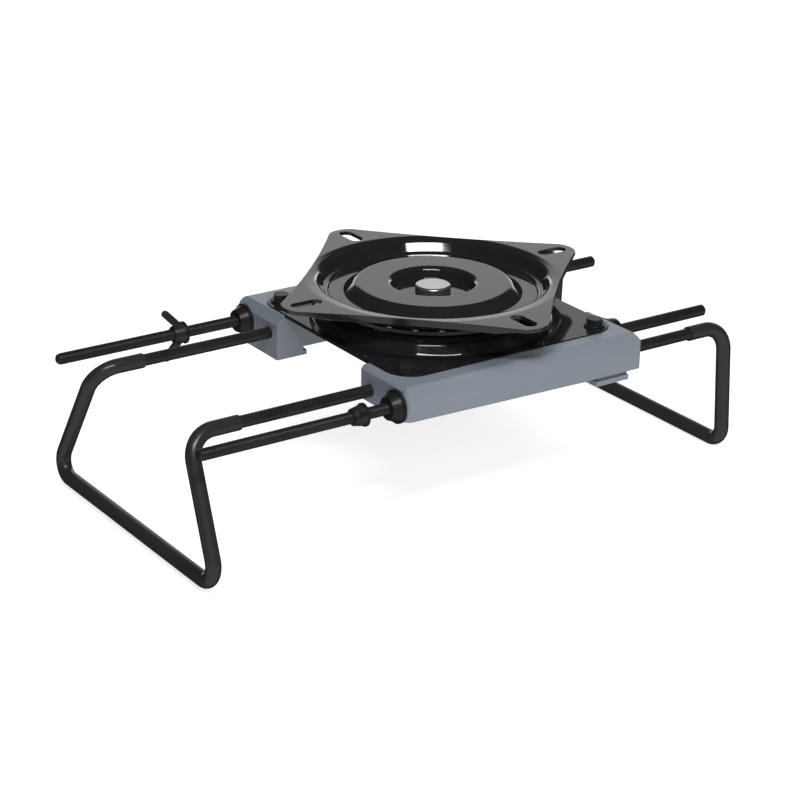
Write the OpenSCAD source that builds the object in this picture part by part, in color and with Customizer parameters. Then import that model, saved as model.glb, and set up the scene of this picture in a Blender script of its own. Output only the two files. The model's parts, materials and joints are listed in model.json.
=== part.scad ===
// Clamp-on swivel seat mount for a bench seat.
// Two moulded rails carry a two-plate swivel and guide two bent-rod hoops that hook under the bench.
// Origin: swivel axis at the top face of the seat plate's ears. X runs along the hoop arms, Z is up.

/* [Swivel plates] */
// side of the square through the slot centres of both plates
slot_square = 141.3; // [136:0.1:143]
// side of the seat plate, across the ear ends
seat_side = 174; // [172:0.5:182]
// corner radius of the seat plate
seat_corner = 16; // [8:0.5:20]
// how far the middle of each side of the seat plate is drawn in
seat_waist = 3.4; // [1:0.1:3.6]
// how far the sides of the seat plate are turned down between its ears
lip_drop = 2.2; // [0.5:0.1:4]
// side of the base plate
base_side = 174; // [172:0.5:175]
// how far the base plate's middle lies from the swivel axis, along X
base_shift = 3; // [0:0.1:4]
// corner radius of the base plate
base_corner = 18; // [14:0.5:20]
// thickness of the pressed sheet
sheet_t = 2.5; // [1.6:0.1:2.8]
// height of the whole swivel, from the base plate's underside to the ears' top
swivel_h = 29.2; // [28.4:0.1:32]
// turn of the seat plate as stored, in degrees
seat_turn = 45; // [0:1:90]
// length of each mounting slot, end to end
slot_len = 22.5; // [14:0.5:24]
// width of each mounting slot
slot_w = 9.4; // [6.6:0.1:10]

/* [Pressed profile] */
// radius where the dish wall leaves the flat of the plate
dish_r = 79.2; // [77:0.1:80]
// radius of the foot of the dish wall
wall_foot_r = 74; // [73.5:0.1:75]
// radius of the inner end of the step above the ball track
step_r = 71.5; // [71:0.1:72]
// depth of the step below the top of the plate
step_depth = 7.5; // [6:0.1:8]
// how far the balls sink into the floor of each plate's track
ball_sink = 0.9; // [0.6:0.05:1.2]
// radius of the ball circle
ball_circle_r = 65.6; // [65:0.1:66.5]
// radius of the foot of the raised ring inside the track
ring_foot_r = 59.5; // [57:0.1:61]
// radius of the shoulder of the raised ring
ring_shoulder_r = 51.5; // [46:0.1:54]
// depth of the raised ring's flat top below the top of the plate
ring_depth = 3; // [1:0.1:4.5]
// inner radius of the raised ring's flat top
ring_inner_r = 29.5; // [28:0.1:34]
// radius of the flat floor of the centre recess
recess_r = 25.5; // [21:0.1:26]
// depth of the centre recess below the top of the plate
recess_depth = 10.2; // [7:0.1:10.6]

/* [Bearing and rivet] */
// ball radius
ball_r = 3.5; // [3.2:0.05:3.8]
// number of balls
ball_n = 24; // [12:1:36]
// radius of the rivet's shank
rivet_r = 5; // [4:0.1:6]
// radius of the rivet's head
rivet_head_r = 12; // [9:0.1:14]
// thickness of the rivet's head
rivet_head_h = 5; // [2:0.1:6]
// thickness of the rivet's tail, turned over on its washer
rivet_tail_h = 2.6; // [2:0.1:4]

/* [Rails] */
// length of each rail
rail_len = 189; // [186:0.5:196]
// distance from the swivel axis to the outer side of a rail
rail_outer_y = 102; // [101:0.5:106]
// distance from the swivel axis to the inner side of a rail
rail_inner_y = 51; // [48:0.5:52]
// height of a rail from its bottom edge to its rim
rail_h = 25; // [24.5:0.1:28]
// how far the rails' middle lies from the swivel axis, along X
rail_shift = 3.5; // [2:0.1:4.5]
// height of the rim around the base plate
rim_h = 2; // [1:0.1:3]
// rise of the rail's bottom edge towards the end without a foot
bottom_rise = 2.6; // [0:0.1:3]
// wall thickness of the moulding
wall_t = 3.5; // [3:0.1:4]
// radius of the outer top edge
edge_r = 5; // [3:0.1:5]
// drop of the foot below the rail
foot_drop = 6; // [4:0.1:9]
// near rail: length of its foot
near_foot_len = 27; // [18:0.5:30]
// near rail: distance from the rail's end to its foot
near_foot_in = 9.7; // [0:0.1:12]
// far rail: length of its foot
far_foot_len = 23.5; // [18:0.5:30]
// far rail: distance from the rail's end to its foot
far_foot_in = 0; // [0:0.1:12]

/* [Rods and sleeves] */
// radius of the hoop rods
rod_r = 4; // [3.5:0.05:4]
// depth of the thread on the rods' ends
thread_depth = 0.55; // [0.55:0.05:1]
// wall of the plastic sleeve on each hoop
sleeve_wall = 1; // [0.6:0.05:1.2]
// radius of the bends between arms and legs, to the middle of the rod
bend_r = 18; // [14:0.5:20]
// radius of the bends between legs and bottom bar, to the middle of the rod
foot_bend_r = 11; // [9:0.5:20]
// height of the rods' middle above the bottom edge of the rails
rod_above_bottom = 11; // [10:0.1:12]
// left hoop: depth from the arms to the bottom bar
left_depth = 84.2; // [60:0.1:120]
// right hoop: depth from the arms to the bottom bar
right_depth = 85.8; // [60:0.1:120]
// left hoop: distance of each arm from the middle
left_arm_y = 61.2; // [60:0.1:62]
// left hoop: where the legs leave the arms
left_top_x = -222.6; // [-240:0.1:-215]
// left hoop: where the bottom bar lies along X
left_bar_x = -229.5; // [-250:0.1:-216]
// left hoop: distance of the bottom corners from the middle
left_foot_y = 106.4; // [80:0.1:115]
// left hoop: where the free ends of the arms stop
left_end_x = 187.7; // [180:0.1:200]
// left hoop: where the sleeve ends on each arm
left_sleeve_x = -187.5; // [-192:0.1:-185]
// right hoop: distance of each arm from the middle
right_arm_y = 91.95; // [91:0.05:92.5]
// right hoop: where the legs leave the arms
right_top_x = 179.7; // [178:0.1:195]
// right hoop: where the bottom bar lies along X
right_bar_x = 180.6; // [178:0.1:200]
// right hoop: distance of the bottom corners from the middle
right_foot_y = 96.5; // [92:0.1:110]
// right hoop: where the threaded ends stop
right_end_x = -234; // [-238:0.1:-225]
// right hoop: where the sleeve ends on each arm
right_sleeve_x = 147; // [146:0.1:152]
// right hoop: where the thread begins, from inside the rails
thread_x = -80; // [-84:0.5:-70]

/* [Hardware] */
// radius of the bushes in the rail ends
bush_r = 7; // [6:0.1:7.5]
// radius of the bushes' flanges
flange_r = 11; // [9:0.1:11]
// thickness of the bushes' flanges
flange_t = 2; // [1:0.1:3]
// radius of the bushes' collars at the flange
collar_r = 10; // [8:0.1:10.5]
// bushes at the left ends: length of the collar beyond the flange
left_collar_len = 6; // [1:0.5:6.5]
// bushes at the right ends: length of the collar beyond the flange
right_collar_len = 9; // [1:0.5:12]
// radius of the plate bolts' shanks
bolt_r = 3; // [2.5:0.05:3]
// side of the square through the bolts that hold the base plate to the rails
bolt_square = 151; // [146:0.5:152]
// near wing nut: distance of its hub's middle from the rail's end
near_nut_out = 30; // [27:0.5:44]
// far wing nut: distance of its hub's middle from the rail's end
far_nut_out = 53; // [27:0.5:69]
// length of a wing nut's hub
hub_len = 8; // [7:0.5:10]
// radius of a wing nut's hub at its seat
hub_r = 7; // [6:0.1:8]
// distance from the rod to the tip centre of each wing
wing_reach = 15.5; // [13:0.1:16]
// how far the wings are swept away from the rail
wing_sweep = 9; // [4:0.1:12]
// near wing nut: angle of its wings about the rod
near_nut_turn = 150; // [0:1:180]
// far wing nut: angle of its wings about the rod
far_nut_turn = 90; // [0:1:180]

/* [Hidden] */
$fn = 96;
eps = 0.01;
run_gap = 0.05;
bend_steps = 8;
bend_swell = 0.02;
bend_overlap = 0.4;
half_t = sheet_t / 2;
track_depth = swivel_h / 2 - sheet_t - ball_r + ball_sink;
foot_t = 3;
rod_end_in = 1.2;
base_z = -swivel_h;
rail_top_z = base_z + rim_h;
rail_bottom_z = rail_top_z - rail_h;
rail_x0 = rail_shift - rail_len / 2;
rail_x1 = rail_shift + rail_len / 2;
near_nut_x = rail_x0 - near_nut_out;
far_nut_x = rail_x0 - far_nut_out;
rod_z = rail_bottom_z + rod_above_bottom;
core_r = rod_r - thread_depth;
bolt_d = bolt_square / 2;
slot_d = slot_square / 2;
sleeve_gap = 0.02;
sleeve_r = rod_r + sleeve_gap + sleeve_wall;
hole_r = rod_r + run_gap;
pocket_gap = 0.6;
revolve_r = dish_r + 3.3;
grey = [0.44, 0.48, 0.54];
black = [0.06, 0.06, 0.07];
dark = [0.12, 0.12, 0.13];
steel = [0.75, 0.76, 0.78];
white = [0.85, 0.85, 0.82];

// Vector helpers
function unit(v) = v / norm(v);
function turn_of(a, b) = acos(max(-1, min(1, unit(a) * unit(b))));
function flat_angle(v) = atan2(v[1], v[0]);
function euler(x, y, z) = [
  atan2(y[2], z[2]),
  asin(max(-1, min(1, -x[2]))),
  atan2(x[1], x[0])
];

// Sheet of even thickness along a line of [radius, height] points with bend radii
// One side of the sheet: the line's own start and end, and an arc at each bend
function bend_side(before, corner, after, r, off) =
  let (
    d1 = unit(corner - before),
    d2 = unit(after - corner),
    turn = turn_of(d1, d2),
    side = sign(d1[0] * d2[1] - d1[1] * d2[0]),
    start = corner - d1 * r * tan(turn / 2),
    centre = start + side * r * [-d1[1], d1[0]],
    a1 = flat_angle(start - centre)
  )
  [for (k = [0 : bend_steps])
    let (a = a1 + side * turn * k / bend_steps) centre + (r - side * off) * [cos(a), sin(a)]];

function end_side(p, q, at, off) =
  let (d = unit(q - p)) at + off * [-d[1], d[0]];

function sheet_side(pts, radii, off) =
  let (n = len(pts) - 1)
  concat(
    [end_side(pts[0], pts[1], pts[0], off)],
    [for (i = [1 : n - 1]) each bend_side(pts[i - 1], pts[i], pts[i + 1], radii[i], off)],
    [end_side(pts[n - 1], pts[n], pts[n], off)]
  );

function reversed(v) = [for (i = [len(v) - 1 : -1 : 0]) v[i]];

module sheet_run(pts, radii, t) {
  polygon(concat(sheet_side(pts, radii, t / 2), reversed(sheet_side(pts, radii, -t / 2))));
}

// Pressed profile of both swivel plates, from the flat inwards, as middle-of-sheet points
press_points = [
  [revolve_r, -half_t],
  [dish_r, -half_t],
  [wall_foot_r, -step_depth - half_t],
  [step_r, -step_depth - half_t],
  [step_r - 1.3, -track_depth - half_t],
  [ring_foot_r, -track_depth - half_t],
  [ring_shoulder_r, -ring_depth - half_t],
  [ring_inner_r, -ring_depth - half_t],
  [recess_r, -recess_depth - half_t],
  [rivet_r + run_gap, -recess_depth - half_t]
];
press_radii = [0, 3.5, 1.8, 1.5, 1.5, 2, 5, 3, 2, 0];

module rounded(side, r) {
  h = side / 2 - r;
  union() {
    for (x = [-h, h]) for (y = [-h, h]) translate([x, y]) circle(r);
    square([side, 2 * h], center = true);
    square([2 * h, side], center = true);
  }
}

module slot() {
  run = slot_len / 2 - slot_w / 2;
  for (x = [-run, run]) translate([x, 0]) circle(slot_w / 2);
  square([2 * run, slot_w], center = true);
}

module slots() {
  for (a = [45 : 90 : 315]) rotate(a) translate([slot_d * sqrt(2), 0]) slot();
}

// A side drawn in by a flat arc between the ears
function waist_chord(side) = side / 2 - 12;
function waist_r(side, depth) = (pow(waist_chord(side), 2) + depth * depth) / (2 * depth);

module waist(side, depth) {
  r = waist_r(side, depth);
  for (a = [0 : 90 : 270]) rotate(a) translate([side / 2 - depth + r, 0]) circle(r, $fn = 720);
}

// The same side turned down along the arc, running out before the ears
module side_lips(side, depth) {
  r = waist_r(side, depth);
  run = waist_chord(side) - 6;
  run_out = 14;
  join = 0.5;
  for (a = [0 : 90 : 270]) rotate([0, 0, a]) intersection() {
    translate([0, 0, -sheet_t - lip_drop]) linear_extrude(lip_drop + join) difference() {
      square_from(side / 2 - depth - 2 * sheet_t, -run, side / 2, run);
      translate([side / 2 - depth + r, 0]) circle(r, $fn = 720);
      difference() {
        square_from(side / 2 - depth - 3 * sheet_t, -run - 1, side / 2, run + 1);
        translate([side / 2 - depth + r, 0]) circle(r + sheet_t, $fn = 720);
      }
    }
    rotate([90, 0, 90]) linear_extrude(side) polygon([
      [-run, -sheet_t + join],
      [-run, -sheet_t],
      [-run + run_out, -sheet_t - lip_drop],
      [run - run_out, -sheet_t - lip_drop],
      [run, -sheet_t],
      [run, -sheet_t + join]
    ]);
  }
}

module bolt_points() {
  for (x = [-bolt_d, bolt_d]) for (y = [-bolt_d, bolt_d]) translate([base_shift + x, y]) children();
}

module pressing(side, corner, depth, shift) {
  difference() {
    union() {
      translate([0, 0, -sheet_t]) linear_extrude(sheet_t) difference() {
        translate([shift, 0]) rounded(side, corner);
        children();
        if (depth > 0) waist(side, depth);
        circle(revolve_r);
      }
      rotate_extrude() sheet_run(press_points, press_radii, sheet_t);
    }
    rotate_extrude() translate([ball_circle_r, base_z / 2]) circle(ball_r + run_gap);
  }
}

module seat_plate() {
  color(black) rotate([0, 0, seat_turn]) {
    pressing(seat_side, seat_corner, seat_waist, 0) slots();
    side_lips(seat_side, seat_waist);
  }
}

module base_plate() {
  color(black) translate([0, 0, base_z]) mirror([0, 0, 1])
    pressing(base_side, base_corner, 0, base_shift) bolt_points() circle(bolt_r + 0.3);
}

// Centre rivet with its spacer and washer
floor_under = -recess_depth - sheet_t;
base_floor_top = base_z - floor_under;
base_floor_under = base_z + recess_depth;
washer_t = 1.2;

module centre_rivet() {
  head_z = -recess_depth + run_gap;
  head_edge_r = 1.5;
  tail_top = base_floor_under - washer_t;
  tail_z = tail_top - rivet_tail_h;
  color(steel) rotate_extrude() union() {
    square_from(0, tail_z, rivet_r, head_z + eps);
    square_from(0, head_z, rivet_head_r - head_edge_r, head_z + rivet_head_h);
    square_from(0, head_z, rivet_head_r, head_z + rivet_head_h - head_edge_r);
    intersection() {
      translate([rivet_head_r - head_edge_r, head_z + rivet_head_h - head_edge_r])
        circle(head_edge_r, $fn = 32);
      square_from(0, head_z, rivet_head_r, head_z + rivet_head_h);
    }
    square_from(0, tail_z, rivet_head_r - 3, tail_top);
  }
}

module square_from(x0, y0, x1, y1) {
  translate([x0, y0]) square([x1 - x0, y1 - y0]);
}

module rivet_spacer() {
  color(steel) rotate_extrude()
    square_from(rivet_r + run_gap, base_floor_top, rivet_r + 4, floor_under - run_gap);
}

module rivet_washer() {
  color(steel) rotate_extrude()
    square_from(rivet_r + run_gap, base_floor_under - washer_t, rivet_head_r + 1, base_floor_under);
}

// Ball race
module ball_cage() {
  cage_wall = 0.5;
  cage_w = 2 * (ball_r + cage_wall);
  cage_t = 2.4;
  color(white) difference() {
    rotate_extrude() translate([ball_circle_r, base_z / 2]) square([cage_w, cage_t], center = true);
    for (i = [0 : ball_n - 1]) rotate([0, 0, i * 360 / ball_n])
      translate([ball_circle_r, 0, base_z / 2]) cylinder(r = ball_r + run_gap, h = 8, center = true);
  }
}

module bearing_balls() {
  color(steel) for (i = [0 : ball_n - 1]) rotate([0, 0, i * 360 / ball_n])
    translate([ball_circle_r, 0, base_z / 2]) sphere(r = ball_r, $fn = 48);
}

// Moulded rail, drawn for the near side with its foot at the right-hand end
module rail_section() {
  w = rail_outer_y - rail_inner_y;
  union() {
    square_from(-rail_outer_y, rail_bottom_z, -rail_inner_y, rail_top_z - edge_r);
    square_from(-rail_outer_y + edge_r, rail_bottom_z, -rail_inner_y, rail_top_z);
    translate([-rail_outer_y + edge_r, rail_top_z - edge_r]) circle(edge_r);
  }
}

module rail_block(x0, x1) {
  top_run = 5;
  top_drop = 6.5;
  low_run = 2;
  low_drop = 2.4;
  end_r = 2;
  difference() {
    intersection() {
      translate([x0, 0, 0]) rotate([90, 0, 90]) linear_extrude(x1 - x0) rail_section();
      translate([0, 0, rail_bottom_z - 1]) linear_extrude(rail_h + 2) union() {
        square_from(x0, -rail_outer_y + edge_r, x1, -rail_inner_y);
        square_from(x0 + edge_r, -rail_outer_y, x1 - end_r, -rail_inner_y);
        translate([x0 + edge_r, -rail_outer_y + edge_r]) circle(edge_r);
        translate([x1 - end_r, -rail_outer_y + end_r]) circle(end_r);
        square_from(x1 - 2 * end_r, -rail_outer_y + end_r, x1, -rail_inner_y);
      }
    }
    // slanted top edges at both ends
    translate([0, -rail_inner_y + 1, 0]) rotate([90, 0, 0])
      linear_extrude(rail_outer_y - rail_inner_y + 2) {
        polygon([
          [x1 - top_run, rail_top_z],
          [x1 - top_run, rail_top_z + 1],
          [x1 + 1, rail_top_z + 1],
          [x1 + 1, rail_top_z - top_drop],
          [x1, rail_top_z - top_drop]
        ]);
        polygon([
          [x0 + low_run, rail_top_z],
          [x0 + low_run, rail_top_z + 1],
          [x0 - 1, rail_top_z + 1],
          [x0 - 1, rail_top_z - low_drop],
          [x0, rail_top_z - low_drop]
        ]);
      }
    // the bottom edge rises towards the end without a foot
    if (bottom_rise > 0)
      translate([0, -rail_inner_y + 1, 0]) rotate([90, 0, 0])
        linear_extrude(rail_outer_y - rail_inner_y + 2) polygon([
          [x0 - 1, rail_bottom_z - 1],
          [x1 - 50, rail_bottom_z - 1],
          [x1 - 50, rail_bottom_z],
          [x0 - 1, rail_bottom_z + bottom_rise]
        ]);
  }
}

// Foot between x0 and x1: a neck set back from the outer side and a tread below it, open from below
module rail_foot(x0, x1) {
  neck_h = 2.6;
  neck_in = 2.5;
  foot_w = rail_outer_y - rail_inner_y;
  foot_z = rail_bottom_z - foot_drop;
  wall_in = neck_in + foot_t;
  translate([0, -rail_outer_y, 0]) difference() {
    union() {
      translate([x0 + neck_in, neck_in, foot_z + 1])
        cube([x1 - x0 - neck_in, foot_w - neck_in, foot_drop]);
      translate([x0, 0.5, foot_z]) cube([x1 - x0, foot_w - 0.5, foot_drop - neck_h]);
    }
    translate([x0 + wall_in, wall_in, foot_z - 1])
      cube([x1 - x0 - wall_in - foot_t, foot_w - wall_in - wall_t, foot_drop + 3]);
  }
}

// shift is the rail's middle along X and bolts_x the middle of its two bolts
module rail(shift, bolts_x, foot_in, foot_len, turned) {
  x0 = shift - rail_len / 2;
  x1 = shift + rail_len / 2;
  inner = -rail_inner_y;
  outer = -rail_outer_y;
  end_t = 8;
  skin = 3.2;
  roof_z = base_z - skin;
  rib_t = 3;
  boss_r = 7;
  boss_bottom_z = rod_z - 4.4;
  n = 4;
  pitch = (rail_len - 2 * end_t + rib_t) / n;
  difference() {
    union() {
      difference() {
        rail_block(x0, x1);
        // seat for the base plate, up to its rim
        translate([turned ? -base_shift : base_shift, 0, base_z]) linear_extrude(rail_h)
          rounded(base_side + 2 * pocket_gap, base_corner + pocket_gap);
        // hollow underside between the cross ribs
        for (i = [0 : n - 1])
          translate([x0 + end_t + i * pitch, outer + wall_t, rail_bottom_z - 1])
            cube([pitch - rib_t, rail_outer_y - rail_inner_y - 2 * wall_t, roof_z - rail_bottom_z + 1]);
      }
      for (x = [-bolt_d, bolt_d]) translate([bolts_x + x, -bolt_d, boss_bottom_z])
        cylinder(r = boss_r, h = roof_z - boss_bottom_z + 1);
      rail_foot(x1 - foot_in - foot_len, x1 - foot_in);
    }
    for (x = [-bolt_d, bolt_d]) translate([bolts_x + x, -bolt_d, boss_bottom_z - 1])
      cylinder(r = bolt_r + 0.2, h = rail_h);
    for (y = [left_arm_y, right_arm_y]) translate([x0 - 1, -y, rod_z]) rotate([0, 90, 0])
      cylinder(r = hole_r, h = rail_len + 2);
    // bush seats
    translate([turned ? x1 - end_t : x0 - 1, -right_arm_y, rod_z]) rotate([0, 90, 0])
      cylinder(r = bush_r + sleeve_gap, h = end_t + 1);
    translate([turned ? x0 - 1 : x1 - end_t, -left_arm_y, rod_z]) rotate([0, 90, 0])
      cylinder(r = bush_r + sleeve_gap, h = end_t + 1);
  }
}

module side_rail_near() {
  color(grey) rail(rail_shift, base_shift, near_foot_in, near_foot_len, false);
}

module side_rail_far() {
  color(grey) rotate([0, 0, 180])
    rail(-rail_shift, -base_shift, far_foot_in, far_foot_len, true);
}

// Flanged bush with its flange against a rail's end and a tapered collar, pointing against X
module bush(collar_len, taper) {
  depth = 7.5;
  front = flange_t + collar_len;
  color(black) translate([-front, 0, 0]) rotate([0, 90, 0]) difference() {
    union() {
      cylinder(r1 = collar_r - taper, r2 = collar_r, h = collar_len);
      translate([0, 0, collar_len]) cylinder(r = flange_r, h = flange_t);
      cylinder(r = bush_r, h = front + depth);
    }
    translate([0, 0, -1]) cylinder(r = hole_r, h = front + depth + 2);
  }
}

module bush_near_left() {
  translate([rail_x0, -right_arm_y, rod_z]) bush(left_collar_len, 2.5);
}

module bush_far_left() {
  translate([rail_x0, right_arm_y, rod_z]) bush(left_collar_len, 2.5);
}

module bush_near_right() {
  translate([rail_x1, -left_arm_y, rod_z]) rotate([0, 0, 180]) bush(right_collar_len, 1);
}

module bush_far_right() {
  translate([rail_x1, left_arm_y, rod_z]) rotate([0, 0, 180]) bush(right_collar_len, 1);
}

// Bolts through the base plate's slots, with washers above and nuts in the rails
washer_r = 7;
bolt_washer_t = 1.4;
washer_top_z = base_z + sheet_t + bolt_washer_t;
bolt_end_z = rail_bottom_z + 1.2;

module at_bolts() {
  for (x = [-bolt_d, bolt_d]) for (y = [-bolt_d, bolt_d])
    translate([base_shift + x, y, 0]) children();
}

module plate_bolts() {
  head_r = 5.8;
  head_h = 4;
  flat_r = 5;
  flare = 1.7;
  color(dark) at_bolts() {
    translate([0, 0, washer_top_z]) intersection() {
      cylinder(r = head_r, h = head_h, $fn = 6);
      cylinder(r1 = flat_r + flare * head_h, r2 = flat_r, h = head_h);
    }
    translate([0, 0, bolt_end_z]) cylinder(r = bolt_r, h = washer_top_z - bolt_end_z + eps);
  }
}

module bolt_washers() {
  color(dark) at_bolts() translate([0, 0, base_z + sheet_t]) difference() {
    cylinder(r = washer_r, h = bolt_washer_t);
    translate([0, 0, -1]) cylinder(r = bolt_r + 0.1, h = 4);
  }
}

module plate_nuts() {
  nut_h = 5;
  color(dark) at_bolts() translate([0, 0, rod_z - 4.4 - nut_h]) difference() {
    rotate([0, 0, 30]) cylinder(r = 5.77, h = nut_h, $fn = 6);
    translate([0, 0, -1]) cylinder(r = bolt_r + run_gap, h = nut_h + 2);
  }
}

// Bent rods: straight lengths and bends of even radius
module rod_between(a, b, r) {
  d = b - a;
  translate(a) rotate([0, acos(d[2] / norm(d)), flat_angle(d)]) cylinder(r = r, h = norm(d));
}

module rod_bend(before, corner, after, centre_r, r) {
  d1 = unit(corner - before);
  d2 = unit(after - corner);
  turn = turn_of(d1, d2);
  n = unit(cross(d1, d2));
  inward = cross(n, d1);
  start = corner - d1 * centre_r * tan(turn / 2);
  translate(start + inward * centre_r) rotate(euler(-inward, d1, n))
    rotate_extrude(angle = turn) translate([centre_r, 0]) circle(r + bend_swell);
}

// The second and third bends of a hoop are those at its bottom bar
function bend_at(i) = i == 2 || i == 3 ? foot_bend_r : bend_r;

function reach_of(p, i) = i <= 0 || i >= len(p) - 1 ? 0
  : bend_at(i) * tan(turn_of(p[i] - p[i - 1], p[i + 1] - p[i]) / 2);

// The straight lengths run a little way into the bends, which are swollen by less than the eye sees
function inset_of(p, i) = i <= 0 || i >= len(p) - 1 ? 0 : reach_of(p, i) - bend_overlap;

module bent_rod(p, r) {
  for (i = [0 : len(p) - 2]) {
    d = unit(p[i + 1] - p[i]);
    rod_between(p[i] + d * inset_of(p, i), p[i + 1] - d * inset_of(p, i + 1), r);
  }
  for (i = [1 : len(p) - 2]) rod_bend(p[i - 1], p[i], p[i + 1], bend_at(i), r);
}

function hoop_path(end_x, top_x, bar_x, arm_y, foot_y, depth) = [
  [end_x, -arm_y, rod_z],
  [top_x, -arm_y, rod_z],
  [bar_x, -foot_y, rod_z - depth],
  [bar_x, foot_y, rod_z - depth],
  [top_x, arm_y, rod_z],
  [end_x, arm_y, rod_z]
];

function left_path(end_x) =
  hoop_path(end_x, left_top_x, left_bar_x, left_arm_y, left_foot_y, left_depth);

function right_path(end_x) =
  hoop_path(end_x, right_top_x, right_bar_x, right_arm_y, right_foot_y, right_depth);

// Chamfered free end of a rod, from x away along dir
module rod_tip(x, y, r, dir) {
  translate([x, y, rod_z]) rotate([0, 90 * dir, 0])
    cylinder(r1 = r, r2 = r - rod_end_in, h = rod_end_in);
}

module left_hoop_rod() {
  color(dark) {
    bent_rod(left_path(left_end_x - rod_end_in), rod_r);
    for (y = [-left_arm_y, left_arm_y]) rod_tip(left_end_x - rod_end_in, y, rod_r, 1);
  }
}

module left_hoop_sleeve() {
  color(black) difference() {
    bent_rod(left_path(left_sleeve_x), sleeve_r);
    bent_rod(left_path(left_sleeve_x + 1), rod_r + sleeve_gap);
  }
}

module right_hoop_rod() {
  core_end_x = right_end_x + rod_end_in;
  color(dark) {
    bent_rod(right_path(thread_x), rod_r);
    for (y = [-right_arm_y, right_arm_y]) {
      translate([core_end_x, y, rod_z]) rotate([0, 90, 0])
        cylinder(r = core_r, h = thread_x - core_end_x + eps);
      rod_tip(core_end_x, y, core_r, -1);
    }
  }
}

module right_hoop_sleeve() {
  color(black) difference() {
    bent_rod(right_path(right_sleeve_x), sleeve_r);
    bent_rod(right_path(right_sleeve_x - 1), rod_r + sleeve_gap);
  }
}

// Washer and wing nut, drawn about X with the wings swept against X
module nut_washer() {
  color(dark) translate([hub_len / 2, 0, 0]) rotate([0, 90, 0]) difference() {
    cylinder(r = 7.6, h = 1.2);
    translate([0, 0, -1]) cylinder(r = hole_r, h = 4);
  }
}

module wing_nut() {
  blade_w = 5;
  blade_t = 3;
  foot = [1, 5];
  tip = [-wing_sweep, wing_reach];
  d = tip - foot;
  color(dark) difference() {
    union() {
      translate([-hub_len / 2, 0, 0]) rotate([0, 90, 0])
        cylinder(r1 = hub_r - 1.5, r2 = hub_r, h = hub_len);
      for (a = [0, 180]) rotate([a, 0, 0]) translate([0, 0, -blade_t / 2]) linear_extrude(blade_t) {
        translate(foot) rotate(flat_angle(d)) translate([0, -blade_w / 2]) square([norm(d), blade_w]);
        translate(tip) circle(blade_w / 2);
      }
    }
    translate([-hub_len, 0, 0]) rotate([0, 90, 0]) cylinder(r = core_r + run_gap, h = 2 * hub_len);
  }
}

module nut_washer_near() {
  translate([near_nut_x, -right_arm_y, rod_z]) nut_washer();
}

module nut_washer_far() {
  translate([far_nut_x, right_arm_y, rod_z]) nut_washer();
}

module wing_nut_near() {
  translate([near_nut_x, -right_arm_y, rod_z]) rotate([near_nut_turn, 0, 0]) wing_nut();
}

module wing_nut_far() {
  translate([far_nut_x, right_arm_y, rod_z]) rotate([far_nut_turn, 0, 0]) wing_nut();
}

side_rail_near();
side_rail_far();
base_plate();
seat_plate();
centre_rivet();
rivet_spacer();
rivet_washer();
ball_cage();
bearing_balls();
bush_near_left();
bush_far_left();
bush_near_right();
bush_far_right();
plate_bolts();
bolt_washers();
plate_nuts();
left_hoop_rod();
left_hoop_sleeve();
right_hoop_rod();
right_hoop_sleeve();
nut_washer_near();
nut_washer_far();
wing_nut_near();
wing_nut_far();
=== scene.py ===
"""Looks for the bench seat mount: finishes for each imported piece, the cut threads,
the cast wing nuts, and a plain studio around them."""

import json
import math

import bmesh
import bpy
from mathutils import Matrix, Vector


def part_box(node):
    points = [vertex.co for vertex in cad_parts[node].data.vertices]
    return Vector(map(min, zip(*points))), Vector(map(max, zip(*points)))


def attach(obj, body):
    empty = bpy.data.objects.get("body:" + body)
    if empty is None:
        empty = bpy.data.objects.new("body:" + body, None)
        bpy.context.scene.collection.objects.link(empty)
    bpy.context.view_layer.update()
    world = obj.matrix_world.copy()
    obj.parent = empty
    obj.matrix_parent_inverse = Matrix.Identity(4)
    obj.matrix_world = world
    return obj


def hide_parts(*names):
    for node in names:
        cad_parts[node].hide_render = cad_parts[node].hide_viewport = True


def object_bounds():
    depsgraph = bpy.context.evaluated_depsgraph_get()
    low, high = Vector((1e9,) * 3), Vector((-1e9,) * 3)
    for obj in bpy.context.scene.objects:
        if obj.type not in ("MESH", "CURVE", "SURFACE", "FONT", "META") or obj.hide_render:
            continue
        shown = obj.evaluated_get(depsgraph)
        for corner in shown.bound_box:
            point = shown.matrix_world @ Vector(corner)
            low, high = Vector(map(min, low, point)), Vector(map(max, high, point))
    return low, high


bl_info = {
    "name": "Bench seat mount",
    "version": (1, 0, 0),
    "blender": (4, 5, 0),
    "location": "3D View > Sidebar > Seat mount",
    "description": "Finishes a clamp-on swivel seat mount and stands it in a plain studio",
    "category": "Object",
}

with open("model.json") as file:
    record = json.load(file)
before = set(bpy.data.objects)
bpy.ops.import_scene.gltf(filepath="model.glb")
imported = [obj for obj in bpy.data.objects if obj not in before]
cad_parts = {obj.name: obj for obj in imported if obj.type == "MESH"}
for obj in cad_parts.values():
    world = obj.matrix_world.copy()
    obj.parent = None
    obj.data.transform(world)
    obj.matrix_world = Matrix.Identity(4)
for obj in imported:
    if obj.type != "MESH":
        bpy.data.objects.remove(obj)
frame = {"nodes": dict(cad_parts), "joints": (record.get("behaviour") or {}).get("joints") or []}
cad_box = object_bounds()
floor_level = cad_box[0].z
joints = {joint["name"]: joint for joint in frame["joints"]}
swivel_axis = Vector((0, 0, 0))

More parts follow.
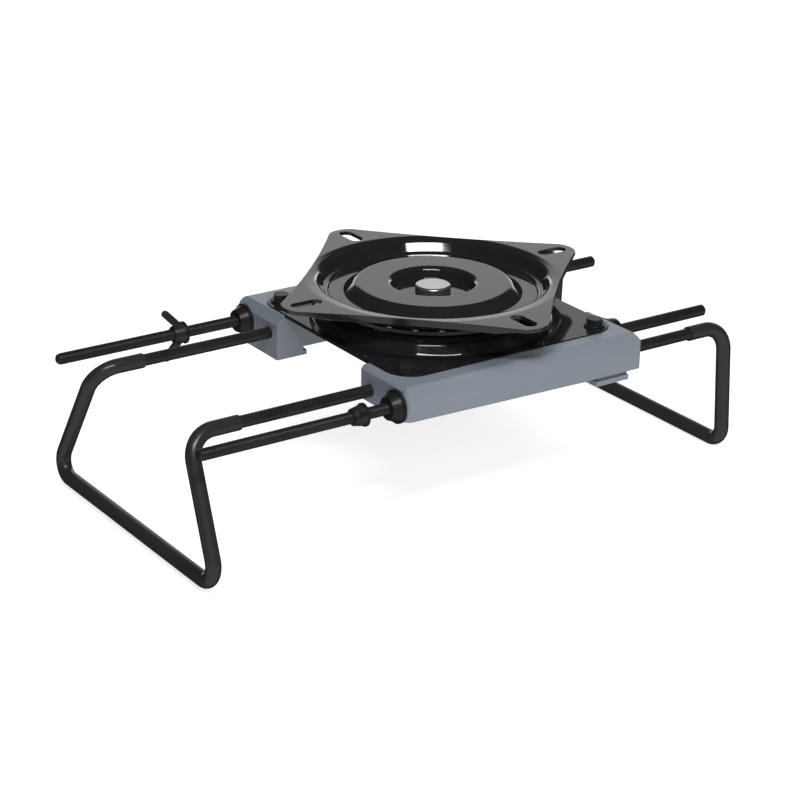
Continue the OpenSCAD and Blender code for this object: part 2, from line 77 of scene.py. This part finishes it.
# Each plate with the specular level of its enamel
PLATES = {"base_plate": 0.22, "seat_plate": 0.5}
RAILS = ("side_rail_near", "side_rail_far")
RODS = ("left_hoop_rod", "right_hoop_rod")
SLEEVES = ("left_hoop_sleeve", "right_hoop_sleeve")
BUSHES = ("bush_near_left", "bush_far_left", "bush_near_right", "bush_far_right")
FASTENERS = (
    "plate_bolts",
    "bolt_washers",
    "plate_nuts",
    "nut_washer_near",
    "nut_washer_far",
)
RIVET = ("centre_rivet", "rivet_spacer", "rivet_washer")
WING_NUTS = {"wing_nut_near": "near_nut", "wing_nut_far": "far_nut"}

# Cut threads: spokes round the rod, rings to a turn, turns over which each end fades,
# the flank's share of a turn, the crest's roundness, and the gap to the rod's end
THREAD_SPOKES = 30
THREAD_RINGS_PER_TURN = 6
THREAD_FADE_FREE_END = 1.5
THREAD_FADE_INNER_END = 2
THREAD_FLANK = 0.36
THREAD_ROUNDNESS = 0.75
THREAD_END_GAP = 0.0012

CAST_SMOOTH_FACTOR = 0.5
CAST_SMOOTH_PASSES = 4

# The floor lies this far under the mount, so that the two faces don't share a plane
FLOOR_DROP = 0.0002
FLOOR_SEGMENTS = 96

# The studio's surround. Heights are the Z of a direction, and the other pairs are how
# near it points to straight beyond the mount, from -1 behind the camera to 1.
BEYOND_MOUNT = (0.57, 0.82, 0.0)
HORIZON = (-0.04, 0.02)
PANEL_SIDE = (0.84, 0.91)
PANEL_TOP = (0.42, 0.56)
STRIP_SIDE = (0.955, 0.980)
STRIP_TOP = (0.12, 0.26)
BEHIND_SIDE = (-0.92, -0.75)
UNDER_TOP = (-0.12, 0.02)
UNDER_SIDE = (-0.3, 0.2)
ROOM_GLOW = 0.04
PANEL_GLOW = 0.88
STRIP_GLOW = 1.6
UNDER_GLOW = 0.7
BEHIND_GLOW = 0.5

# Soft boxes: place, width and height, watts, and whether gloss mirrors them
SOFT_BOXES = {
    "key": ((-0.554, -1.115, 1.565), (1.20, 0.17), 30.0, True),
    "front": ((-0.35, -1.75, 0.95), (1.3, 0.8), 16.0, False),
    "overhead": ((0.1, 0.1, 1.9), (1.3, 1.3), 20.0, False),
}
SOFT_BOX_AIM = Vector((0, 0, -0.03))

# The camera that was fitted to the photograph; sensor and lens in millimetres
CAMERA_PLACE = (-0.84977, -1.18997, 0.51339)
CAMERA_RIGHT = (0.82530, -0.56451, 0.01451)
CAMERA_BACK = (-0.52650, -0.75992, 0.38121)
CAMERA_SENSOR = 36.0
CAMERA_LENS = 104.39
CAMERA_REACH = (0.05, 60.0)


# Sizes and colours that a user may change


def length(name, description, default):
    return bpy.props.FloatProperty(
        name=name,
        description=description,
        default=default,
        min=0.0,
        subtype="DISTANCE",
        unit="LENGTH",
    )


def colour(name, description, default):
    return bpy.props.FloatVectorProperty(
        name=name,
        description=description,
        default=default,
        size=3,
        min=0.0,
        max=1.0,
        subtype="COLOR",
    )


class SeatMountSizes(bpy.types.PropertyGroup):
    thread_pitch: length("Thread pitch", "Distance from one thread crest to the next", 0.00125)
    thread_crest: length("Thread crest", "Radius of the thread over its crests", 0.00398)
    thread_root: length("Thread root", "Radius of the thread in its valleys", 0.00348)
    thread_inner_end: bpy.props.FloatProperty(
        name="Thread's inner end",
        description="Where the thread stops inside the rails, along X",
        default=-0.0802,
        subtype="DISTANCE",
        unit="LENGTH",
    )
    cast_voxel: length("Casting voxel", "Grain of the mesh that rounds the wing nuts", 0.0003)
    sheet_edge: length("Sheet edge", "Rounding of the pressed plates' cut edges", 0.0006)
    roll_inner: length("Roll inside", "Radius where the roll into the dish ends", 0.0785)
    roll_outer: length("Roll outside", "Radius where the plates' flats begin to roll", 0.0868)
    roll_depth: length("Roll depth", "How far the flats roll down into the dish", 0.0012)
    moulded_edge: length("Moulded edge", "Rounding of the plastic pieces' edges", 0.0008)
    metal_edge: length("Metal edge", "Rounding of the small metal pieces' edges", 0.0003)
    floor_reach: length("Floor reach", "Radius of the studio floor", 12.0)
    floor_glow: bpy.props.FloatProperty(
        name="Floor glow",
        description="How strongly the white floor glows by itself, as a light table does",
        default=0.80,
        min=0.0,
        max=1.0,
    )


class SeatMountColours(bpy.types.PropertyGroup):
    enamel: colour("Enamel", "Gloss enamel on the swivel plates", (0.010, 0.010, 0.011))
    rail: colour("Rail", "Moulded plastic of the side rails", (0.150, 0.170, 0.196))
    rod: colour("Rod", "Coating of the bent rods", (0.010, 0.010, 0.0105))
    sleeve: colour("Sleeve", "Plastic sleeve on the hoops", (0.018, 0.018, 0.019))
    bush: colour("Bush", "Plastic of the bushes", (0.008, 0.008, 0.0085))
    fastener: colour(
        "Fastener", "Blackened steel of bolts, washers and nuts", (0.014, 0.014, 0.015)
    )
    rivet: colour("Rivet", "Bare steel of the centre rivet", (0.58, 0.59, 0.60))
    ball: colour("Ball", "Polished steel of the bearing balls", (0.70, 0.70, 0.72))
    cage: colour("Cage", "Nylon of the ball cage", (0.030, 0.030, 0.031))
    floor: colour("Floor", "Studio floor", (0.45, 0.45, 0.45))


# Shader building


class Wire:
    """A socket of a finish that takes part in expressions."""

    def __init__(self, finish, socket):
        self.finish, self.socket = finish, socket

    def math(self, operation, *values):
        inputs = dict(enumerate(values))
        return self.finish.node("ShaderNodeMath", {"operation": operation}, inputs)

    def __add__(self, other):
        return self.math("ADD", self, other)

    def __radd__(self, other):
        return self.math("ADD", other, self)

    def __sub__(self, other):
        return self.math("SUBTRACT", self, other)

    def __rsub__(self, other):
        return self.math("SUBTRACT", other, self)

    def __mul__(self, other):
        return self.math("MULTIPLY", self, other)

    def __rmul__(self, other):
        return self.math("MULTIPLY", other, self)

    def between(self, low, high):
        """0 below low, 1 above high and a smooth rise between them."""
        return self.finish.node(
            "ShaderNodeMapRange",
            {"interpolation_type": "SMOOTHSTEP"},
            {"Value": self, "From Min": low, "From Max": high},
        )


class Finish:
    """A node tree of the mount, its surface shader and the nodes that feed it."""

    def __init__(self, owner, shader_kind="ShaderNodeBsdfPrincipled"):
        owner.use_nodes = True
        self.owner, self.tree = owner, owner.node_tree
        self.tree.nodes.clear()
        self.shader = self.tree.nodes.new(shader_kind)
        world = isinstance(owner, bpy.types.World)
        end_kind = "ShaderNodeOutputWorld" if world else "ShaderNodeOutputMaterial"
        end = self.tree.nodes.new(end_kind)
        self.tree.links.new(self.shader.outputs[0], end.inputs["Surface"])
        self.place = self.node("ShaderNodeTexCoord", out="Generated" if world else "Object")

    def node(self, kind, settings=None, values=None, out=0):
        """A node of any kind: its settings, then the values or wires of its sockets."""
        made = self.tree.nodes.new(kind)
        for key, value in (settings or {}).items():
            if key == "stops":
                ramp = made.color_ramp.elements
                while len(ramp) < len(value):
                    ramp.new(1.0)
                for stop, (position, shade) in zip(ramp, value):
                    stop.position, stop.color = position, shade
            else:
                setattr(made, key, value)
        self.feed(made, values or {})
        return Wire(self, made.outputs[out])

    def feed(self, made, values):
        for key, value in values.items():
            if isinstance(value, Wire):
                self.tree.links.new(value.socket, made.inputs[key])
            else:
                made.inputs[key].default_value = value

    def surface(self, **values):
        """Sets sockets of the shader, named with underscores for spaces."""
        spaced = {key.replace("_", " "): value for key, value in values.items()}
        self.feed(self.shader, spaced)

    def blend(self, factor, first, second):
        """A colour between two colours, each four numbers or a wire."""
        return self.node(
            "ShaderNodeMix", {"data_type": "RGBA"}, {0: factor, 6: first, 7: second}, out=2
        )

    def stretched(self, x, y, z):
        return self.node(
            "ShaderNodeVectorMath", {"operation": "MULTIPLY"}, {0: self.place, 1: (x, y, z)}
        )

    def noise(self, per_metre, detail=2.0, roughness=0.5, place=None):
        return self.node(
            "ShaderNodeTexNoise",
            {"noise_dimensions": "3D"},
            {
                "Vector": place or self.place,
                "Scale": per_metre,
                "Detail": detail,
                "Roughness": roughness,
            },
            out="Fac",
        )

    def edges(self, radius):
        """The surface's direction with every sharp edge rounded to this radius."""
        return self.node("ShaderNodeBevel", {"samples": 6}, {"Radius": radius}, out="Normal")

    def relief(self, height, depth, under):
        """Small relief of this depth in metres over the direction under it."""
        return self.node(
            "ShaderNodeBump",
            {},
            {"Strength": 1.0, "Distance": depth, "Height": height, "Normal": under},
            out="Normal",
        )

    def radius_from(self, axis_point):
        """Distance from a vertical axis, in metres."""
        offset = self.node(
            "ShaderNodeVectorMath",
            {"operation": "SUBTRACT"},
            {0: self.place, 1: tuple(axis_point)},
        )
        flat = self.node(
            "ShaderNodeVectorMath", {"operation": "MULTIPLY"}, {0: offset, 1: (1.0, 1.0, 0.0)}
        )
        return self.node("ShaderNodeVectorMath", {"operation": "LENGTH"}, {0: flat}, out="Value")


def shade(rgb, factor=1.0):
    return (*(channel * factor for channel in rgb), 1.0)


def new_finish(name):
    return Finish(bpy.data.materials.new(name))


def enamel_finish(name, rgb, sizes, shine=0.5):
    """Gloss enamel: orange peel, a thin haze, fine specks and a soft roll into the dish."""
    finish = new_finish(name)
    away = finish.radius_from(swivel_axis)
    roll = away.between(sizes.roll_inner, sizes.roll_outer)
    rolled = finish.relief(roll, sizes.roll_depth, finish.edges(sizes.sheet_edge))
    haze = finish.noise(per_metre=90.0, detail=4.0, roughness=0.6).between(0.35, 0.75)
    peel = finish.noise(per_metre=420.0, detail=2.0, roughness=0.5)
    speck = finish.noise(per_metre=2600.0, detail=1.0, roughness=0.5).between(0.70, 0.76)
    finish.surface(
        Base_Color=finish.blend(haze * 0.5 + speck * 0.3, shade(rgb, 0.9), shade(rgb, 1.35)),
        Roughness=0.055 + haze * 0.02 + speck * 0.06,
        Normal=finish.relief(peel, depth=0.000004, under=rolled),
        IOR=1.52,
        Specular_IOR_Level=shine,
    )
    return finish.owner


def moulded_finish(
    name, rgb, edge, gloss=0.35, grain=1500.0, grain_depth=0.00002, shine=0.5
):
    """Moulded plastic: a fine spark-eroded grain, flow shading, mottling and soft edges."""
    finish = new_finish(name)
    along = finish.stretched(0.35, 1.0, 1.6)
    flow = finish.noise(per_metre=14.0, detail=3.0, roughness=0.55, place=along)
    fine = finish.noise(per_metre=grain, detail=3.0, roughness=0.6)
    mottle = finish.noise(per_metre=60.0, detail=5.0, roughness=0.65).between(0.60, 0.80)
    tint = finish.blend(flow.between(0.25, 0.8), shade(rgb, 0.93), shade(rgb, 1.06))
    finish.surface(
        Base_Color=finish.blend(mottle * 0.25, tint, shade(rgb, 1.18)),
        Roughness=gloss + fine * 0.10 - 0.05 + mottle * 0.05,
        Normal=finish.relief(fine, depth=grain_depth, under=finish.edges(edge)),
        IOR=1.49,
        Specular_IOR_Level=shine,
    )
    return finish.owner


def coated_finish(name, rgb, edge, gloss=0.27):
    """Coating on rod: faint drawing lines along it under a semi-gloss skin."""
    finish = new_finish(name)
    along = finish.stretched(0.02, 1.0, 1.0)
    drawn = finish.noise(per_metre=900.0, detail=3.0, roughness=0.6, place=along)
    cloud = finish.noise(per_metre=55.0, detail=4.0, roughness=0.6).between(0.3, 0.8)
    finish.surface(
        Base_Color=finish.blend(cloud, shade(rgb, 0.85), shade(rgb, 1.3)),
        Roughness=gloss + cloud * 0.08 + drawn * 0.06 - 0.03,
        Normal=finish.relief(drawn, depth=0.000015, under=finish.edges(edge)),
        IOR=1.5,
        Specular_IOR_Level=0.3,
    )
    return finish.owner


def blackened_finish(name, rgb, edge):
    """Blackened steel: part metal, cloudy and finely gritty."""
    finish = new_finish(name)
    cloud = finish.noise(per_metre=320.0, detail=4.0, roughness=0.6).between(0.3, 0.8)
    grit = finish.noise(per_metre=2200.0, detail=2.0, roughness=0.5)
    finish.surface(
        Base_Color=finish.blend(cloud, shade(rgb, 0.75), shade(rgb, 1.6)),
        Metallic=0.15 + cloud * 0.2,
        Roughness=0.30 + grit * 0.14 - cloud * 0.06,
        Normal=finish.relief(grit, depth=0.00001, under=finish.edges(edge)),
        Specular_IOR_Level=0.35,
    )
    return finish.owner


def turned_finish(name, rgb, edge):
    """Bare turned steel: fine rings round the swivel axis and a soft bloom."""
    finish = new_finish(name)
    away = finish.radius_from(swivel_axis)
    outwards = finish.node("ShaderNodeCombineXYZ", {}, {"X": away})
    rings = finish.noise(per_metre=9000.0, detail=2.0, roughness=0.5, place=outwards)
    bloom = finish.noise(per_metre=240.0, detail=4.0, roughness=0.6).between(0.3, 0.8)
    finish.surface(
        Base_Color=finish.blend(bloom, shade(rgb, 0.9), shade(rgb, 1.06)),
        Metallic=0.95,
        Roughness=0.17 + bloom * 0.06 + rings * 0.04,
        Normal=finish.relief(rings, depth=0.000008, under=finish.edges(edge)),
    )
    return finish.owner


def polished_finish(name, rgb):
    """Polished ball steel with a film of grease in places."""
    finish = new_finish(name)
    film = finish.noise(per_metre=180.0, detail=3.0, roughness=0.5).between(0.4, 0.7)
    finish.surface(
        Base_Color=finish.blend(film, shade(rgb), shade(rgb, 0.82)),
        Metallic=1.0,
        Roughness=0.06 + film * 0.12,
    )
    return finish.owner


# Shared mesh work


def give(piece, material):
    """Puts one material on every slot of a piece."""
    if not piece.material_slots:
        piece.data.materials.append(material)
    for slot in piece.material_slots:
        slot.material = material


def finish_nodes(names, material):
    for name in names:
        give(frame["nodes"][name], material)


def new_piece(name, mesh, body):
    piece = bpy.data.objects.new(name, mesh)
    bpy.context.scene.collection.objects.link(piece)
    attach(piece, body)
    return piece


def threaded_rod_mesh(name, start, end, y, z, sizes):
    """A right-hand thread about X from start to end, fading out at both ends."""
    around, pitch = THREAD_SPOKES, sizes.thread_pitch
    step = pitch / THREAD_RINGS_PER_TURN
    rings = int((end - start) / step)
    depth = sizes.thread_crest - sizes.thread_root
    work = bmesh.new()
    rows = []
    for ring in range(rings + 1):
        x = start + ring * step
        from_start = (x - start) / (THREAD_FADE_FREE_END * pitch)
        from_end = (end - x) / (THREAD_FADE_INNER_END * pitch)
        fade = max(0.0, min(1.0, from_start, from_end))
        row = []
        for spoke in range(around):
            angle = 2 * math.pi * spoke / around
            phase = (x / pitch - spoke / around) % 1.0
            crest = max(0.0, 1.0 - abs(phase - 0.5) / THREAD_FLANK) ** THREAD_ROUNDNESS
            radius = sizes.thread_root + depth * crest * fade
            spot = (x, y + radius * math.cos(angle), z + radius * math.sin(angle))
            row.append(work.verts.new(spot))
        rows.append(row)
    for first, second in zip(rows, rows[1:]):
        for spoke in range(around):
            after = (spoke + 1) % around
            work.faces.new((first[spoke], first[after], second[after], second[spoke]))
    for face in work.faces:
        face.smooth = True
    bmesh.ops.recalc_face_normals(work, faces=work.faces)
    mesh = bpy.data.meshes.new(name)
    work.to_mesh(mesh)
    work.free()
    return mesh


def cast_mesh(node, voxel):
    """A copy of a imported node's mesh with its edges rounded as a casting's are."""
    piece = bpy.data.objects.new(node.name + "_work", node.data.copy())
    bpy.context.scene.collection.objects.link(piece)
    remesh = piece.modifiers.new("even", "REMESH")
    remesh.mode, remesh.voxel_size = "VOXEL", voxel
    remesh.use_smooth_shade = True
    soft = piece.modifiers.new("soft", "SMOOTH")
    soft.factor, soft.iterations = CAST_SMOOTH_FACTOR, CAST_SMOOTH_PASSES
    graph = bpy.context.evaluated_depsgraph_get()
    mesh = bpy.data.meshes.new_from_object(piece.evaluated_get(graph))
    bpy.data.objects.remove(piece)
    return mesh


# Operators: one for each group of pieces


class MountOperator:
    bl_options = {"REGISTER", "UNDO"}

    @property
    def sizes(self):
        return bpy.context.scene.seat_mount_sizes

    @property
    def colours(self):
        return bpy.context.scene.seat_mount_colours


class SEATMOUNT_OT_rails(MountOperator, bpy.types.Operator):
    """Gives the side rails their moulded plastic"""

    bl_idname = "seatmount.rails"
    bl_label = "Side rails"

    def execute(self, context):
        plastic = moulded_finish("rail plastic", self.colours.rail, self.sizes.moulded_edge)
        finish_nodes(RAILS, plastic)
        return {"FINISHED"}


class SEATMOUNT_OT_swivel_plates(MountOperator, bpy.types.Operator):
    """Gives the pressed swivel plates their gloss enamel"""

    bl_idname = "seatmount.swivel_plates"
    bl_label = "Swivel plates"

    def execute(self, context):
        for node, shine in PLATES.items():
            name = node.replace("_", " ") + " enamel"
            enamel = enamel_finish(name, self.colours.enamel, self.sizes, shine)
            finish_nodes((node,), enamel)
        return {"FINISHED"}


class SEATMOUNT_OT_bearing(MountOperator, bpy.types.Operator):
    """Finishes the centre rivet, the balls and their cage"""

    bl_idname = "seatmount.bearing"
    bl_label = "Rivet and ball race"

    def execute(self, context):
        edge = self.sizes.metal_edge
        finish_nodes(RIVET, turned_finish("rivet steel", self.colours.rivet, edge))
        finish_nodes(("bearing_balls",), polished_finish("ball steel", self.colours.ball))
        nylon = moulded_finish("cage nylon", self.colours.cage, edge, gloss=0.4)
        finish_nodes(("ball_cage",), nylon)
        return {"FINISHED"}


class SEATMOUNT_OT_hoops(MountOperator, bpy.types.Operator):
    """Finishes the bent rods and their plastic sleeves"""

    bl_idname = "seatmount.hoops"
    bl_label = "Hoops and sleeves"

    def execute(self, context):
        edge = self.sizes.metal_edge
        finish_nodes(RODS, coated_finish("rod coating", self.colours.rod, edge))
        sleeve = moulded_finish(
            "sleeve plastic",
            self.colours.sleeve,
            edge,
            gloss=0.26,
            grain=1100.0,
            grain_depth=0.00001,
            shine=0.3,
        )
        finish_nodes(SLEEVES, sleeve)
        return {"FINISHED"}


class SEATMOUNT_OT_threads(MountOperator, bpy.types.Operator):
    """Cuts the threads on the right hoop's free ends"""

    bl_idname = "seatmount.threads"
    bl_label = "Rod threads"

    def execute(self, context):
        sizes = self.sizes
        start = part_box("right_hoop_rod")[0].x + THREAD_END_GAP
        coating = coated_finish("thread coating", self.colours.rod, sizes.metal_edge, gloss=0.33)
        for side in ("near", "far"):
            name = "thread_" + side
            y, z = joints[side + "_nut_spin"]["pos_m"][1:]
            mesh = threaded_rod_mesh(name, start, sizes.thread_inner_end, y, z, sizes)
            give(new_piece(name, mesh, "right_hoop"), coating)
        return {"FINISHED"}


class SEATMOUNT_OT_hardware(MountOperator, bpy.types.Operator):
    """Finishes bushes, bolts, washers and nuts"""

    bl_idname = "seatmount.hardware"
    bl_label = "Bushes and fasteners"

    def execute(self, context):
        plastic = moulded_finish(
            "bush plastic", self.colours.bush, self.sizes.moulded_edge, gloss=0.34, shine=0.25
        )
        finish_nodes(BUSHES, plastic)
        steel = blackened_finish("fastener steel", self.colours.fastener, self.sizes.metal_edge)
        finish_nodes(FASTENERS, steel)
        return {"FINISHED"}


class SEATMOUNT_OT_wing_nuts(MountOperator, bpy.types.Operator):
    """Casts the wing nuts with rounded wings and hubs"""

    bl_idname = "seatmount.wing_nuts"
    bl_label = "Wing nuts"

    def execute(self, context):
        steel = blackened_finish("wing nut steel", self.colours.fastener, self.sizes.metal_edge)
        for node, body in WING_NUTS.items():
            mesh = cast_mesh(frame["nodes"][node], self.sizes.cast_voxel)
            piece = new_piece(node + "_cast", mesh, body)
            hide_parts(node)
            give(piece, steel)
        return {"FINISHED"}


class SEATMOUNT_OT_stage(MountOperator, bpy.types.Operator):
    """Lays the floor, sets the lights and places the camera"""

    bl_idname = "seatmount.stage"
    bl_label = "Studio"

    def execute(self, context):
        context.scene.view_settings.view_transform = "Standard"
        self.lay_floor()
        self.light_world(context.scene)
        self.hang_lights()
        self.place_camera(context.scene)
        return {"FINISHED"}

    def lay_floor(self):
        work = bmesh.new()
        bmesh.ops.create_circle(
            work, cap_ends=True, segments=FLOOR_SEGMENTS, radius=self.sizes.floor_reach
        )
        bmesh.ops.translate(work, verts=work.verts, vec=(0, 0, floor_level - FLOOR_DROP))
        mesh = bpy.data.meshes.new("studio_floor")
        work.to_mesh(mesh)
        work.free()
        floor = bpy.data.objects.new("studio_floor", mesh)
        bpy.context.scene.collection.objects.link(floor)
        finish = new_finish("studio floor")
        mottle = finish.noise(per_metre=3.0, detail=3.0, roughness=0.5)
        white = self.colours.floor
        finish.surface(
            Base_Color=finish.blend(mottle, shade(white, 0.99), shade(white)),
            Roughness=0.85,
            Emission_Color=(1.0, 1.0, 1.0, 1.0),
            Emission_Strength=self.sizes.floor_glow,
        )
        give(floor, finish.owner)
        floor.visible_glossy = False

    def light_world(self, scene):
        """A dark room with a white panel beyond the mount, brighter low at its two sides,
        a dimmer one behind the camera, and light from under the near side."""
        world = bpy.data.worlds.new("studio")
        scene.world = world
        sky = Finish(world, "ShaderNodeBackground")
        height = sky.node("ShaderNodeSeparateXYZ", {}, {"Vector": sky.place}, out="Z")
        beyond = sky.node(
            "ShaderNodeVectorMath",
            {"operation": "DOT_PRODUCT"},
            {0: sky.place, 1: BEYOND_MOUNT},
            out="Value",
        )
        above_horizon = height.between(*HORIZON)
        below_top = 1.0 - height.between(*PANEL_TOP)
        ahead = beyond.between(*PANEL_SIDE) * above_horizon
        panel = ahead * below_top
        strips = ahead * (1.0 - height.between(*STRIP_TOP))
        strips = strips * (1.0 - beyond.between(*STRIP_SIDE))
        behind = (1.0 - beyond.between(*BEHIND_SIDE)) * above_horizon * below_top
        under = (1.0 - height.between(*UNDER_TOP)) * (1.0 - beyond.between(*UNDER_SIDE))
        glow = ROOM_GLOW + panel * PANEL_GLOW + strips * STRIP_GLOW
        glow = glow + under * UNDER_GLOW + behind * BEHIND_GLOW
        sky.feed(sky.shader, {"Color": (1.0, 1.0, 1.0, 1.0), "Strength": glow})

    def hang_lights(self):
        """Soft boxes; one that isn't mirrored lights the matt faces without a glint."""
        for name, (place, size, watts, mirrored) in SOFT_BOXES.items():
            lamp = bpy.data.lights.new(name, "AREA")
            lamp.shape, lamp.size, lamp.size_y = "RECTANGLE", size[0], size[1]
            lamp.energy = watts
            holder = bpy.data.objects.new(name, lamp)
            holder.visible_glossy = mirrored
            holder.location = place
            holder.rotation_mode = "QUATERNION"
            aim = SOFT_BOX_AIM - holder.location
            holder.rotation_quaternion = aim.to_track_quat("-Z", "Y")
            bpy.context.scene.collection.objects.link(holder)

    def place_camera(self, scene):
        lens = bpy.data.cameras.new("photo_camera")
        lens.sensor_width, lens.lens = CAMERA_SENSOR, CAMERA_LENS
        lens.clip_start, lens.clip_end = CAMERA_REACH
        camera = bpy.data.objects.new("photo_camera", lens)
        right = Vector(CAMERA_RIGHT).normalized()
        back = Vector(CAMERA_BACK).normalized()
        up = back.cross(right).normalized()
        turn = Matrix((right, up, back)).transposed().to_4x4()
        camera.matrix_world = Matrix.Translation(CAMERA_PLACE) @ turn
        scene.collection.objects.link(camera)
        scene.camera = camera


class SEATMOUNT_PT_panel(bpy.types.Panel):
    """Lists the mount's pieces, sizes and colours"""

    bl_label = "Bench seat mount"
    bl_space_type = "VIEW_3D"
    bl_region_type = "UI"
    bl_category = "Seat mount"

    def draw(self, context):
        for operator in OPERATORS:
            self.layout.operator(operator.bl_idname)
        for group in (context.scene.seat_mount_sizes, context.scene.seat_mount_colours):
            column = self.layout.column(align=True)
            for name in group.__annotations__:
                column.prop(group, name)


OPERATORS = (
    SEATMOUNT_OT_rails,
    SEATMOUNT_OT_swivel_plates,
    SEATMOUNT_OT_bearing,
    SEATMOUNT_OT_hoops,
    SEATMOUNT_OT_threads,
    SEATMOUNT_OT_hardware,
    SEATMOUNT_OT_wing_nuts,
    SEATMOUNT_OT_stage,
)
CLASSES = (SeatMountSizes, SeatMountColours, *OPERATORS, SEATMOUNT_PT_panel)


def register():
    for made in CLASSES:
        bpy.utils.register_class(made)
    bpy.types.Scene.seat_mount_sizes = bpy.props.PointerProperty(type=SeatMountSizes)
    bpy.types.Scene.seat_mount_colours = bpy.props.PointerProperty(type=SeatMountColours)


def unregister():
    del bpy.types.Scene.seat_mount_colours
    del bpy.types.Scene.seat_mount_sizes
    for made in reversed(CLASSES):
        bpy.utils.unregister_class(made)


def main():
    register()
    for operator in OPERATORS:
        group, name = operator.bl_idname.split(".")
        getattr(getattr(bpy.ops, group), name)()


if __name__ == "__main__":
    main()
